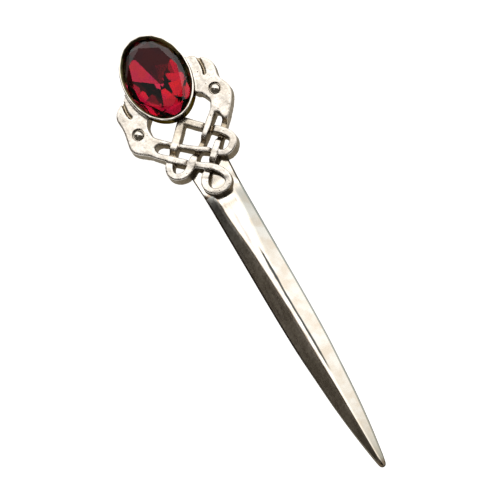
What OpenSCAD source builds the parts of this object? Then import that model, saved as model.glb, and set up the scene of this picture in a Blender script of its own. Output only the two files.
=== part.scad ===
// Kilt pin in the form of a dirk: a flat-backed cast blade under a Celtic knot, whose two ends become
// the heads of a pair of beasts that hold an oval faceted stone in a rim.
// It lies face up. The tip points to -Y, the stone to +Y, and the feet of the pin bar stand on z = 0.

/* [Whole pin] */
// Length from the tip of the blade to the top of the stone's rim
overall_l = 78.8; // [74:0.2:84]
// Taper of the cast walls, as sideways run for each millimetre of height
draft = 0.02; // [0:0.01:0.06]
// Gap left between pieces that seat against each other
fit_gap = 0.05; // [0.03:0.01:0.08]

/* [Stone] */
// Length of the oval stone
stone_l = 14; // [13:0.2:15]
// Width of the oval stone
stone_w = 10; // [9.4:0.2:10.6]
// Height of the crown, from the girdle up to the table
crown_h = 1.15; // [0.9:0.05:1.4]
// Thickness of the girdle
girdle_t = 0.25; // [0.15:0.05:0.4]
// Depth of the pavilion, from the girdle down to its point
pavilion_d = 2.5; // [2.2:0.1:2.9]
// Width of the table as a share of the stone's width
table_share = 0.58; // [0.5:0.01:0.64]

/* [Rim] */
// Thickness of the rim's wall beside the stone
rim_wall = 0.3; // [0.25:0.05:0.45]
// Height of the lip above the girdle
lip_h = 0.7; // [0.55:0.05:0.9]
// How far the lip reaches in over the stone's edge
lip_over = 0.3; // [0.2:0.02:0.36]
// Width of the rim's polished top edge
rim_top = 0.26; // [0.2:0.02:0.3]
// Height of the rim's upright side, down from that edge
rim_side_h = 1.85; // [1.6:0.05:2.1]
// Bevel along the lower edge of that side
rim_bevel = 0.15; // [0.05:0.05:0.3]
// Softening of the rim's outer top edge
rim_soft = 0.07; // [0.03:0.01:0.1]
// How far the rim's underside draws in on its way from there to the back
cup_draw = 1.2; // [0.8:0.1:1.4]
// Width of the ledge that carries the stone
ledge_w = 0.75; // [0.5:0.05:1]
// Thickness of the floor at the window behind the stone
floor_t = 0.4; // [0.3:0.05:0.6]
// Size of that window as a share of the stone
window_share = 0.5; // [0.4:0.05:0.6]
// Depth from the stone's point to the back of the casting
point_gap = 0.25; // [0.1:0.05:0.5]

/* [Heads] */
// Width over the two heads
head_w = 18.1; // [17.3:0.1:19]
// Length of a head, from the stone's centre line down to the end of its neck
head_l = 11.1; // [10.7:0.1:11.5]
// Thickness of a head
head_t = 2.35; // [2:0.05:2.7]
// Rounding along the edge of a head
head_round = 0.22; // [0.1:0.02:0.26]
// Width of the mouth slit
mouth_w = 0.5; // [0.4:0.05:0.6]
// Depth of the mouth slit
mouth_d = 1.0; // [0.8:0.1:1.3]
// Radius of the round socket of the eye
socket_r = 0.96; // [0.9:0.02:1.04]
// Depth of that socket
socket_d = 0.4; // [0.25:0.05:0.6]
// Radius of the eye's dome
eye_r = 0.8; // [0.65:0.05:0.85]
// Height of that dome as a share of its radius
dome_share = 0.8; // [0.65:0.05:1]

/* [Knot] */
// Width over the two outer lobes of the knot
knot_w = 12.1; // [11.7:0.1:12.5]
// Length from the knot's apex to the foot of its centre loop
knot_l = 13.3; // [12.9:0.1:13.8]
// Width of a strand
strand_w = 1.14; // [1:0.02:1.24]
// Height of a strand where it passes over another
strand_high = 2.6; // [2.4:0.05:2.9]
// Height of a strand where it passes under another
strand_low = 1.45; // [1.3:0.05:1.7]
// Radius of the rounding along the top edges of a strand
strand_round = 0.32; // [0.2:0.02:0.4]

/* [Blade] */
// Width of the blade at its top
blade_w = 6.4; // [6:0.1:6.8]
// Thickness of the blade at its crest
crest_t = 1.55; // [1.4:0.05:1.9]
// Thickness of the blade at its edges
edge_t = 0.6; // [0.45:0.05:0.8]
// Place of the blade's top edge, as a share of the knot's length below its apex
blade_top_share = 0.63; // [0.61:0.01:0.66]

/* [Pin bar] */
// Length of the bar on the back
bar_l = 36; // [32:0.5:38]
// Distance from the blade's top edge to the end of the bar
bar_inset = 0.2; // [0.1:0.1:1]
// Width of the bar
bar_w = 3.6; // [3.2:0.1:3.8]
// Thickness of the bar
bar_t = 0.7; // [0.5:0.05:1]
// Height of the hinge block and of the catch under the bar
foot_h = 3.6; // [3.4:0.1:4.2]
// Length of the hinge block along the bar
hinge_l = 3.8; // [3:0.1:4.5]
// Thickness of each ear of the hinge block
ear_t = 0.7; // [0.5:0.05:0.9]
// Wall of the hinge's barrel round the steel pin
barrel_wall = 0.35; // [0.25:0.05:0.45]
// Length of the catch along the bar
catch_l = 2.4; // [1.8:0.1:3]
// Width of the catch
catch_w = 3; // [2.8:0.1:3.2]
// Diameter of the steel pin
wire_d = 1.0; // [0.8:0.05:1.2]
// Radius of the catch's round hollow
catch_r = 0.95; // [0.8:0.05:1]
// Height of the steel pin's middle above the surface it lies on
wire_z = 1.35; // [1.25:0.05:1.45]
// Length of the steel pin's point
point_l = 4; // [2:0.5:5]
// Diameter left at its sharp end
sharp_d = 0.2; // [0.1:0.05:0.3]

/* [Hidden] */

// Segments of an oval, and steps between two points of a curve
oval_steps = 60;
curve_steps = 2;
// The stone has this many main facets round its crown, and as many round its pavilion
main_facets = 8;
half_facet = 180 / main_facets;
// Sides of the round cuts and domes in the heads, and of the round parts of the pin bar
slit_sides = 16;
socket_sides = 28;
eye_sides = 20;
wire_sides = 48;
// Thickness of a slice of the blade, and how far cuts run past what they cut
slice_t = 0.01;
overlap = 0.5;
// The ledge falls this much steeper than the pavilion, and the lip rises so against the crown
ledge_ratio = 1.1;
lip_ratio = 1.4;

// Heights in the casting, measured up from its flat back
girdle_bottom = point_gap + pavilion_d;
girdle_top = girdle_bottom + girdle_t;
rim_h = girdle_top + lip_h;
back_z = foot_h + bar_t + fit_gap;

// Half sizes of the rim, and the place of the stone's centre
rim_a = stone_w / 2 + fit_gap + rim_wall;
rim_b = stone_l / 2 + fit_gap + rim_wall;
rim_flare = draft * rim_side_h;
stone_y = overall_l / 2 - rim_b - rim_flare;

// The knot hangs from the foot of the rim, and the blade starts under its lower crossings
apex_y = stone_y - rim_b;
lobe_x = (knot_w - strand_w) / 2;
blade_top_y = apex_y - blade_top_share * knot_l;
blade_l = blade_top_y + overall_l / 2 - slice_t;
bar_top_y = blade_top_y - bar_inset;

// Shares used by the stone: outer corners of its star facets and of its lower facets
star_share = (1 + table_share * cos(half_facet)) / 2;
lower_share = 0.25;

// Outlines of the two heads, x outwards as a share of head_w / 2 and y as a share of head_l below the
// stone's centre. Each runs from the snout along the brow to the neck, round the slot and up inside
RIGHT_HEAD = [
    [0.628, -0.072], [0.688, -0.065], [0.766, -0.014], [0.825, 0.023],
    [0.881, 0.063], [0.924, 0.106], [0.947, 0.155], [0.954, 0.212],
    [0.943, 0.275], [0.926, 0.333], [0.919, 0.380], [0.929, 0.425],
    [0.949, 0.468], [0.976, 0.519], [0.996, 0.569], [1.001, 0.620],
    [0.990, 0.668], [0.965, 0.719], [0.928, 0.770], [0.880, 0.828],
    [0.825, 0.883], [0.773, 0.928], [0.724, 0.971], [0.686, 0.989],
    [0.651, 0.982], [0.624, 0.955], [0.617, 0.921], [0.614, 0.886],
    [0.603, 0.856], [0.580, 0.836], [0.549, 0.833], [0.520, 0.849],
    [0.492, 0.872], [0.459, 0.877], [0.436, 0.856], [0.449, 0.820],
    [0.481, 0.789], [0.514, 0.757], [0.556, 0.701], [0.579, 0.659],
    [0.580, 0.623], [0.565, 0.584], [0.543, 0.542], [0.525, 0.510],
    [0.498, 0.482], [0.445, 0.446], [0.396, 0.351], [0.407, 0.198],
    [0.467, 0.054], [0.545, -0.045]
];
LEFT_HEAD = [
    [0.593, -0.068], [0.648, -0.025], [0.713, 0.012], [0.766, 0.037],
    [0.813, 0.059], [0.860, 0.085], [0.897, 0.114], [0.927, 0.151],
    [0.946, 0.193], [0.950, 0.236], [0.946, 0.286], [0.943, 0.339],
    [0.946, 0.395], [0.955, 0.450], [0.967, 0.504], [0.981, 0.556],
    [0.994, 0.607], [1.002, 0.654], [0.998, 0.699], [0.977, 0.742],
    [0.936, 0.786], [0.883, 0.825], [0.823, 0.867], [0.760, 0.912],
    [0.697, 0.966], [0.646, 1.018], [0.607, 1.041], [0.562, 1.025],
    [0.545, 0.989], [0.580, 0.955], [0.610, 0.918], [0.630, 0.877],
    [0.631, 0.845], [0.596, 0.826], [0.546, 0.824], [0.496, 0.836],
    [0.459, 0.865], [0.425, 0.876], [0.399, 0.854], [0.417, 0.816],
    [0.469, 0.766], [0.523, 0.712], [0.549, 0.676], [0.558, 0.644],
    [0.559, 0.596], [0.554, 0.541], [0.538, 0.497], [0.507, 0.458],
    [0.450, 0.414], [0.394, 0.324], [0.400, 0.180], [0.455, 0.045],
    [0.522, -0.036]
];
// In the same shares: each eye, and the mouth slits from their open ends inwards
RIGHT_EYE = [0.762, 0.528];
LEFT_EYE = [0.754, 0.543];
RIGHT_MOUTH = [[0.776, 0.000], [0.773, 0.122], [0.759, 0.207], [0.733, 0.270]];
LEFT_MOUTH = [[0.712, -0.010], [0.735, 0.126], [0.737, 0.207], [0.718, 0.279]];

// The four strands of the knot. Columns: x as a share of lobe_x, y as a share of knot_l below the
// apex, level from 0 (passing under) to 1 (passing over), and width as a share of strand_w.
// From the right head across the knot, round the left lobe and up to the apex under the stone
INNER_RIGHT = [
    [0.927, 0.092, 0.78, 0.70],
    [0.805, 0.139, 0.78, 0.70],
    [0.684, 0.181, 0.78, 0.70],
    [0.575, 0.225, 0.85, 0.72],
    [0.469, 0.269, 0.95, 0.70],
    [0.389, 0.300, 0.95, 0.68],
    [0.312, 0.326, 0.85, 0.68],
    [0.265, 0.341, 0.45, 0.68],
    [0.234, 0.351, 0.00, 0.70],
    [0.133, 0.382, 0.00, 0.70],
    [0.024, 0.416, 0.00, 0.70],
    [-0.077, 0.447, 0.00, 0.70],
    [-0.122, 0.461, 0.10, 0.70],
    [-0.162, 0.474, 0.60, 0.75],
    [-0.208, 0.489, 0.92, 0.83],
    [-0.268, 0.508, 1.00, 0.95],
    [-0.330, 0.530, 1.00, 1.04],
    [-0.394, 0.555, 1.00, 1.07],
    [-0.465, 0.579, 1.00, 1.05],
    [-0.547, 0.599, 1.00, 1.01],
    [-0.646, 0.611, 1.00, 0.96],
    [-0.765, 0.611, 1.00, 0.92],
    [-0.880, 0.593, 0.95, 0.88],
    [-0.967, 0.559, 0.95, 0.88],
    [-1.007, 0.515, 0.95, 0.92],
    [-0.995, 0.470, 0.95, 0.95],
    [-0.953, 0.432, 0.90, 0.95],
    [-0.918, 0.411, 0.50, 0.92],
    [-0.889, 0.395, 0.00, 0.88],
    [-0.816, 0.356, 0.00, 0.92],
    [-0.728, 0.317, 0.00, 0.96],
    [-0.659, 0.286, 0.05, 0.96],
    [-0.622, 0.271, 0.50, 0.96],
    [-0.582, 0.253, 0.62, 0.96],
    [-0.515, 0.226, 0.60, 0.98],
    [-0.442, 0.198, 0.50, 1.00],
    [-0.314, 0.144, 0.45, 1.02],
    [-0.179, 0.083, 0.45, 1.02],
    [-0.058, 0.029, 0.45, 0.98],
    [0.033, -0.011, 0.45, 0.96]
];
// From the left head across the knot, round the right lobe and up to the apex
INNER_LEFT = [
    [-0.934, 0.061, 0.78, 0.70],
    [-0.812, 0.111, 0.78, 0.58],
    [-0.706, 0.151, 0.70, 0.53],
    [-0.633, 0.180, 0.45, 0.54],
    [-0.600, 0.193, 0.05, 0.56],
    [-0.524, 0.223, 0.00, 0.58],
    [-0.454, 0.252, 0.05, 0.58],
    [-0.418, 0.267, 0.40, 0.58],
    [-0.378, 0.283, 0.68, 0.58],
    [-0.274, 0.323, 0.75, 0.58],
    [-0.164, 0.365, 0.85, 0.60],
    [-0.047, 0.405, 0.95, 0.63],
    [0.066, 0.441, 0.95, 0.67],
    [0.173, 0.474, 0.85, 0.67],
    [0.224, 0.491, 0.50, 0.67],
    [0.255, 0.502, 0.05, 0.68],
    [0.330, 0.529, 0.00, 0.70],
    [0.398, 0.559, 0.05, 0.75],
    [0.432, 0.576, 0.50, 0.79],
    [0.473, 0.595, 0.85, 0.83],
    [0.538, 0.617, 0.95, 0.86],
    [0.637, 0.631, 1.00, 0.88],
    [0.752, 0.625, 1.00, 0.92],
    [0.869, 0.598, 1.00, 0.95],
    [0.960, 0.556, 1.00, 0.95],
    [0.996, 0.511, 1.00, 0.96],
    [0.973, 0.465, 1.00, 0.98],
    [0.911, 0.420, 1.00, 0.98],
    [0.816, 0.369, 0.95, 0.98],
    [0.714, 0.322, 0.85, 0.96],
    [0.662, 0.299, 0.45, 0.96],
    [0.631, 0.286, 0.05, 0.92],
    [0.546, 0.248, 0.00, 0.92],
    [0.467, 0.214, 0.05, 0.92],
    [0.434, 0.201, 0.35, 0.92],
    [0.391, 0.182, 0.45, 0.92],
    [0.288, 0.137, 0.45, 0.93],
    [0.190, 0.089, 0.45, 0.95],
    [0.093, 0.043, 0.45, 0.96],
    [0.015, 0.003, 0.45, 0.96],
    [-0.064, -0.035, 0.45, 0.96]
];
// From the left head down to the centre loop, and the same from the right head
OUTER_LEFT = [
    [-1.235, 0.155, 0.78, 0.79],
    [-1.131, 0.215, 0.80, 0.77],
    [-1.020, 0.271, 0.85, 0.75],
    [-0.911, 0.320, 0.95, 0.81],
    [-0.807, 0.365, 1.00, 0.88],
    [-0.703, 0.408, 1.00, 0.88],
    [-0.599, 0.449, 0.92, 0.86],
    [-0.535, 0.474, 0.55, 0.83],
    [-0.500, 0.487, 0.05, 0.83],
    [-0.400, 0.526, 0.00, 0.83],
    [-0.318, 0.557, 0.05, 0.83],
    [-0.281, 0.571, 0.55, 0.83],
    [-0.235, 0.587, 0.92, 0.83],
    [-0.108, 0.631, 1.00, 0.83],
    [-0.004, 0.663, 1.00, 0.86],
    [0.108, 0.702, 1.00, 0.88],
    [0.204, 0.751, 1.00, 0.89],
    [0.277, 0.805, 1.00, 0.92],
    [0.316, 0.858, 0.98, 0.92],
    [0.318, 0.905, 0.95, 0.89],
    [0.283, 0.946, 0.95, 0.88],
    [0.212, 0.977, 0.95, 0.83],
    [0.102, 0.997, 0.95, 0.79],
    [-0.035, 0.998, 0.95, 0.75],
    [-0.150, 0.982, 0.95, 0.72]
];
OUTER_RIGHT = [
    [1.228, 0.189, 0.78, 0.83],
    [1.131, 0.234, 0.78, 0.79],
    [1.082, 0.256, 0.60, 0.77],
    [1.049, 0.271, 0.05, 0.75],
    [0.954, 0.311, 0.00, 0.75],
    [0.845, 0.358, 0.00, 0.75],
    [0.739, 0.402, 0.00, 0.75],
    [0.666, 0.432, 0.05, 0.75],
    [0.630, 0.448, 0.50, 0.75],
    [0.589, 0.465, 0.85, 0.75],
    [0.536, 0.487, 0.95, 0.77],
    [0.469, 0.516, 1.00, 0.82],
    [0.391, 0.547, 1.00, 0.88],
    [0.312, 0.578, 1.00, 0.89],
    [0.250, 0.601, 0.92, 0.88],
    [0.217, 0.612, 0.50, 0.86],
    [0.188, 0.622, 0.05, 0.83],
    [0.078, 0.656, 0.00, 0.83],
    [-0.031, 0.689, 0.00, 0.86],
    [-0.091, 0.708, 0.05, 0.88],
    [-0.126, 0.720, 0.45, 0.89],
    [-0.162, 0.735, 0.65, 0.91],
    [-0.228, 0.762, 0.70, 0.92],
    [-0.290, 0.798, 0.70, 0.90],
    [-0.328, 0.840, 0.75, 0.88],
    [-0.328, 0.888, 0.85, 0.83],
    [-0.279, 0.935, 0.92, 0.77],
    [-0.186, 0.973, 0.95, 0.73],
    [-0.077, 0.995, 0.95, 0.72]
];

// Sections of the blade. Columns: place as a share of blade_l below its top, half width as a share of
// blade_w / 2, crest as a share of crest_t, edge as a share of edge_t, and rounding of the crest as a
// share of the half width
BLADE_SECTIONS = [
    [0.000, 1.005, 0.86, 1.00, 0.20],
    [0.025, 0.985, 0.88, 1.00, 0.20],
    [0.060, 0.955, 0.90, 1.00, 0.20],
    [0.110, 0.938, 0.94, 1.00, 0.19],
    [0.240, 0.923, 1.00, 1.00, 0.18],
    [0.420, 0.905, 1.00, 1.00, 0.14],
    [0.510, 0.884, 1.00, 1.00, 0.12],
    [0.600, 0.838, 0.98, 1.00, 0.10],
    [0.690, 0.746, 0.94, 1.00, 0.08],
    [0.780, 0.640, 0.88, 1.00, 0.08],
    [0.870, 0.484, 0.80, 0.95, 0.08],
    [0.955, 0.255, 0.68, 0.85, 0.10],
    [1.000, 0.060, 0.50, 0.70, 0.30]
];

// A point of the smooth curve that runs from b to c, with a before them and d after them
function curve_point(a, b, c, d, t) =
    (2 * b + (c - a) * t + (2 * a - 5 * b + 4 * c - d) * t * t
    + (3 * b - a - 3 * c + d) * t * t * t) / 2;

function open_curve(p) = [
    for (i = [0 : len(p) - 2], s = [0 : curve_steps - 1])
        curve_point(p[max(i - 1, 0)], p[i], p[i + 1], p[min(i + 2, len(p) - 1)], s / curve_steps),
    p[len(p) - 1]
];

function closed_curve(p) = [
    for (i = [0 : len(p) - 1], s = [0 : curve_steps - 1])
        curve_point(p[(i + len(p) - 1) % len(p)], p[i], p[(i + 1) % len(p)],
            p[(i + 2) % len(p)], s / curve_steps)
];

function oval(a, b, z) = [
    for (i = [0 : oval_steps - 1])
        [a * cos(360 * i / oval_steps), b * sin(360 * i / oval_steps), z]
];

// Unit vector out of a counter-clockwise outline at its point i
function outward(p, i) =
    let (step = p[(i + 1) % len(p)] - p[(i + len(p) - 1) % len(p)])
    [step[1], -step[0]] / norm(step);

// The outline moved out by a distance, or in by a negative one, at height z
function moved_outline(p, out, z) = [
    for (i = [0 : len(p) - 1]) let (q = p[i] + out * outward(p, i)) [q[0], q[1], z]
];

// A closed solid through rings of points, each counter-clockwise as seen from above, lowest first
module loft(rings) {
    n = len(rings[0]);
    last = (len(rings) - 1) * n;
    polyhedron(
        points = [for (ring = rings) each ring],
        faces = [
            [for (i = [0 : n - 1]) i],
            for (j = [0 : len(rings) - 2], i = [0 : n - 1])
                let (a = j * n + i, b = j * n + (i + 1) % n) each [[a, a + n, b + n], [a, b + n, b]],
            [for (i = [n - 1 : -1 : 0]) last + i]
        ],
        convexity = 10
    );
}

// Outer body of the rim, solid: an upright side over an underside that draws in towards the back
module rim_body() {
    side_z = rim_h - rim_side_h;
    loft([
        oval(rim_a - cup_draw, rim_b - cup_draw, 0),
        oval(rim_a + rim_flare - rim_bevel, rim_b + rim_flare - rim_bevel, side_z - rim_bevel),
        oval(rim_a + rim_flare, rim_b + rim_flare, side_z),
        oval(rim_a, rim_b, rim_h - rim_soft),
        oval(rim_a - rim_soft, rim_b - rim_soft, rim_h)
    ]);
}

// What is cut out for the stone: window, cup, ledge, the girdle's bore, the lip and its inner bevel
module stone_seat() {
    a = stone_w / 2;
    b = stone_l / 2;
    ledge_drop = ledge_ratio * pavilion_d * ledge_w / a;
    lip_rise = lip_ratio * crown_h * (lip_over + fit_gap) / (a * (1 - table_share));
    bevel_in = rim_wall + fit_gap - rim_top;
    loft([
        oval(a * window_share, b * window_share, -overlap),
        oval(a * window_share, b * window_share, floor_t),
        oval(a - ledge_w, b - ledge_w, girdle_bottom / 2),
        oval(a - ledge_w, b - ledge_w, girdle_bottom - ledge_drop),
        oval(a + fit_gap, b + fit_gap, girdle_bottom - fit_gap),
        oval(a + fit_gap, b + fit_gap, girdle_top + fit_gap),
        oval(a - lip_over, b - lip_over, girdle_top + lip_rise),
        oval(a - lip_over, b - lip_over, rim_h - lip_h / 2),
        oval(a + bevel_in, b + bevel_in, rim_h - slice_t),
        oval(a + bevel_in, b + bevel_in, rim_h + overlap)
    ]);
}

function head_place(share) = [share[0] * head_w / 2, -share[1] * head_l];

// A head as it lies on the right, with its mouth slit and the dome of its eye in a socket
module head(table, eye_share, mouth) {
    places = closed_curve([for (i = [len(table) - 1 : -1 : 0]) head_place(table[i])]);
    edge_h = head_t - head_round;
    corner = head_round * (1 - cos(45));
    eye = head_place(eye_share);
    difference() {
        loft([
            moved_outline(places, draft * edge_h, 0),
            moved_outline(places, 0, edge_h),
            moved_outline(places, -corner, head_t - corner),
            moved_outline(places, -head_round, head_t)
        ]);
        for (i = [0 : len(mouth) - 2])
            hull()
                for (share = [mouth[i], mouth[i + 1]])
                    translate([each head_place(share), head_t - mouth_d])
                        cylinder(h = head_t, d = mouth_w, $fn = slit_sides);
        translate([each eye, head_t - socket_d])
            cylinder(h = head_t, r = socket_r, $fn = socket_sides);
    }
    translate([each eye, head_t - socket_d])
        intersection() {
            scale([1, 1, dome_share]) sphere(r = eye_r, $fn = eye_sides);
            translate([0, 0, head_t / 2 - overlap / 2]) cube([2 * eye_r, 2 * eye_r, head_t], center = true);
        }
}

// A strand that follows a table, flat behind and rounded along its top edges
module strand(table) {
    path = open_curve([
        for (r = table)
            [r[0] * lobe_x, -r[1] * knot_l, strand_low + r[2] * (strand_high - strand_low), r[3] * strand_w]
    ]);
    last = len(path) - 1;
    loft([
        for (i = [0 : last])
            let (
                step = path[min(i + 1, last)] - path[max(i - 1, 0)],
                left = [-step[1], step[0]] / norm([step[0], step[1]]),
                top = path[i][2],
                half = path[i][3] / 2,
                foot = half + draft * top,
                section = [[-foot, 0], [foot, 0], for (t = [0 : 45 : 90]) round_edge(half, top, t),
                    for (t = [90 : -45 : 0]) let (q = round_edge(half, top, t)) [-q[0], q[1]]]
            )
            [for (q = section) [path[i][0] + q[0] * left[0], path[i][1] + q[0] * left[1], q[1]]]
    ]);
}

// A point of a strand's rounded top edge, t degrees round from its side wall
function round_edge(half, top, t) =
    [half - strand_round * (1 - cos(t)), top - strand_round * (1 - sin(t))];

module knot() {
    strand(INNER_RIGHT);
    strand(INNER_LEFT);
    strand(OUTER_LEFT);
    strand(OUTER_RIGHT);
}

// A thin slice of the blade at a row of its table, flat behind and roof-shaped in front
module blade_slice(row) {
    w = row[1] * blade_w / 2;
    edge = row[3] * edge_t;
    round = row[4] * w;
    slope = (row[2] * crest_t - edge) / w;
    shoulder = row[2] * crest_t - slope * round;
    translate([0, -row[0] * blade_l, 0])
        rotate([90, 0, 0])
            linear_extrude(slice_t)
                polygon([[-w, 0], [w, 0], [w, edge], [round, shoulder], [0, shoulder + slope * round / 2],
                    [-round, shoulder], [-w, edge]]);
}

// The blade, from its top under the knot down to its blunt tip
module blade() {
    rows = open_curve(BLADE_SECTIONS);
    for (i = [0 : len(rows) - 2])
        hull() {
            blade_slice(rows[i]);
            blade_slice(rows[i + 1]);
        }
}

// Blade, knot, heads and rim are one casting
module casting() {
    color([0.80, 0.78, 0.75])
        translate([0, 0, back_z])
            difference() {
                union() {
                    translate([0, blade_top_y, 0]) blade();
                    translate([0, apex_y, 0]) knot();
                    translate([0, stone_y, 0]) {
                        rim_body();
                        head(RIGHT_HEAD, RIGHT_EYE, RIGHT_MOUTH);
                        mirror([1, 0, 0]) head(LEFT_HEAD, LEFT_EYE, LEFT_MOUTH);
                    }
                }
                translate([0, stone_y, 0]) stone_seat();
            }
}

function stone_point(share, angle, z) =
    [share * stone_w / 2 * cos(angle), share * stone_l / 2 * sin(angle), z];

// The stone, z = 0 at the top of its girdle: table, star, kite and girdle facets, and as many below
module stone() {
    n = main_facets;
    crown_slope = crown_h / (1 - table_share);
    star_z = crown_h - (star_share * cos(half_facet) - table_share) * crown_slope;
    lower_z = -girdle_t - pavilion_d * (1 - lower_share * cos(half_facet));
    table = [for (k = [0 : n - 1]) stone_point(table_share, 2 * half_facet * k, crown_h)];
    star = [for (k = [0 : n - 1]) stone_point(star_share, half_facet * (2 * k + 1), star_z)];
    top = [for (k = [0 : 2 * n - 1]) stone_point(1, half_facet * k, 0)];
    bottom = [for (k = [0 : 2 * n - 1]) stone_point(1, half_facet * k, -girdle_t)];
    lower = [for (k = [0 : n - 1]) stone_point(lower_share, half_facet * (2 * k + 1), lower_z)];
    s = n;
    g = 2 * n;
    b = 4 * n;
    p = 6 * n;
    point = 7 * n;
    color([0.55, 0.03, 0.10])
        translate([0, stone_y, back_z + girdle_top])
            polyhedron(
                points = [each table, each star, each top, each bottom, each lower,
                    [0, 0, -girdle_t - pavilion_d]],
                faces = [
                    [for (k = [n - 1 : -1 : 0]) k],
                    for (k = [0 : n - 1])
                        let (next = (k + 1) % n, before = (k + n - 1) % n, g0 = 2 * k, g1 = 2 * k + 1,
                            g2 = (2 * k + 2) % (2 * n))
                        each [
                            [k, next, s + k],
                            [k, s + k, g + g0, s + before],
                            [s + k, g + g1, g + g0],
                            [s + k, g + g2, g + g1],
                            [b + g0, g + g0, g + g1, b + g1],
                            [b + g1, g + g1, g + g2, b + g2],
                            [p + k, b + g0, b + g1],
                            [p + k, b + g1, b + g2],
                            [point, p + before, b + g0, p + k]
                        ]
                ]
            );
}

// The bar on the back with its hinge block, steel pin and catch, as one plain piece
module pin_bar() {
    catch_y = -bar_l + bar_w / 2;
    barrel_r = wire_d / 2 + barrel_wall;
    color([0.66, 0.66, 0.68])
        translate([0, bar_top_y, 0]) {
            translate([0, 0, foot_h])
                linear_extrude(bar_t) {
                    translate([-bar_w / 2, -bar_l + bar_w / 2]) square([bar_w, bar_l - bar_w / 2]);
                    translate([0, -bar_l + bar_w / 2]) circle(d = bar_w);
                }
            for (side = [-1, 1])
                translate([side * (bar_w - ear_t) / 2 - ear_t / 2, -hinge_l, 0])
                    cube([ear_t, hinge_l, foot_h + bar_t / 2]);
            translate([-bar_w / 2 + ear_t / 2, -hinge_l / 2, wire_z])
                rotate([0, 90, 0]) cylinder(h = bar_w - ear_t, r = barrel_r, $fn = wire_sides);
            translate([0, -hinge_l / 2, wire_z])
                rotate([90, 0, 0])
                    cylinder(h = -catch_y - hinge_l / 2 - point_l / 2, d = wire_d, $fn = wire_sides);
            translate([0, catch_y + point_l / 2, wire_z])
                rotate([90, 0, 0]) cylinder(h = point_l, d1 = wire_d, d2 = sharp_d, $fn = wire_sides);
            translate([0, catch_y, 0])
                difference() {
                    translate([-catch_w / 2, -catch_l / 2, 0])
                        cube([catch_w, catch_l, foot_h + bar_t / 2]);
                    translate([0, catch_l, wire_z])
                        rotate([90, 0, 0]) cylinder(h = 2 * catch_l, r = catch_r, $fn = wire_sides);
                }
        }
}

casting();
stone();
pin_bar();
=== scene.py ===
# %% [markdown]
# A cast kilt pin, dressed around its measured model. The frame holds three solids: the casting (blade,
# knot, heads and rim), the stone, and the pin bar on the back. The casting and the stone get finer
# bodies here, in the same places, and the pin bar keeps its solid and gets its finish.

# %% Load the frame
import math

import bpy
import bmesh
import numpy as np
from mathutils import Matrix, Vector, noise


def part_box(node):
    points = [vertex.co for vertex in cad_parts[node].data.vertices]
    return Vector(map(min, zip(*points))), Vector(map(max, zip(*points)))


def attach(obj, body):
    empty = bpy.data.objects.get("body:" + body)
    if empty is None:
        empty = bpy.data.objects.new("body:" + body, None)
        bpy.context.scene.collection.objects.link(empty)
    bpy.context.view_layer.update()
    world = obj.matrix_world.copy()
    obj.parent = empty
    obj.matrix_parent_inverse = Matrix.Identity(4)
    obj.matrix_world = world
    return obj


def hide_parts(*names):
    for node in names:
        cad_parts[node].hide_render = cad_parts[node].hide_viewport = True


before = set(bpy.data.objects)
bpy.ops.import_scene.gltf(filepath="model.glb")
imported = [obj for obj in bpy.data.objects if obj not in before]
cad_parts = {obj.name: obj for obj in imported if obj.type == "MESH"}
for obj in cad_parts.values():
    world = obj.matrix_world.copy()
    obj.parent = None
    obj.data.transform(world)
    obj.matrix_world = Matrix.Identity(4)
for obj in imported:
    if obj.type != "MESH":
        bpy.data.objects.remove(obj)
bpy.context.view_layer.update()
scene = bpy.context.scene
MM = 0.001
print("nodes:", sorted(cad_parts))

# %% [markdown]
# Sizes are in millimetres, and most are those of the part's source. The stone's facets, the strands'
# sections and the blade's tip are set anew here, closer to the photograph. Heights are measured from the
# casting's flat back, and the frame's own boxes say where that back, the stone and the rim lie.

# %% Read the places from the frame
casting_low, casting_high = (np.array(corner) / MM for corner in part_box("casting"))
stone_low, stone_high = (np.array(corner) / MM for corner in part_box("stone"))
back_z = casting_low[2]
rim_h = casting_high[2] - back_z
stone_a, stone_b = (stone_high - stone_low)[:2] / 2
stone_y = (stone_high + stone_low)[1] / 2
FIT_GAP, RIM_WALL = 0.05, 0.3
rim_b = stone_b + FIT_GAP + RIM_WALL
rim_a = stone_a + FIT_GAP + RIM_WALL
apex_y = stone_y - rim_b
print("back at", round(back_z, 3), "rim height", round(rim_h, 3), "stone centre y", round(stone_y, 3))

# %% [markdown]
# The photograph looks down on the face from a little below, with the blade running to its lower right.
# A long lens keeps the view nearly parallel. Elevation, turn and roll say how the camera stands, and
# one known point, the middle of the stone, fixes where the picture lies.

# %% Place the camera
VIEW_ELEVATION = math.radians(71.15)
VIEW_TURN = math.radians(6.0)
VIEW_ROLL = math.radians(-36.57)
PIXELS_PER_MM = 6.53
PHOTO_SIZE = 500
STONE_PIXEL = (156.0, 77.5)
LENS_MM = 800

camera_data = bpy.data.cameras.new("camera")
camera_data.lens = LENS_MM
camera = bpy.data.objects.new("camera", camera_data)
scene.collection.objects.link(camera)
scene.camera = camera

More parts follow.
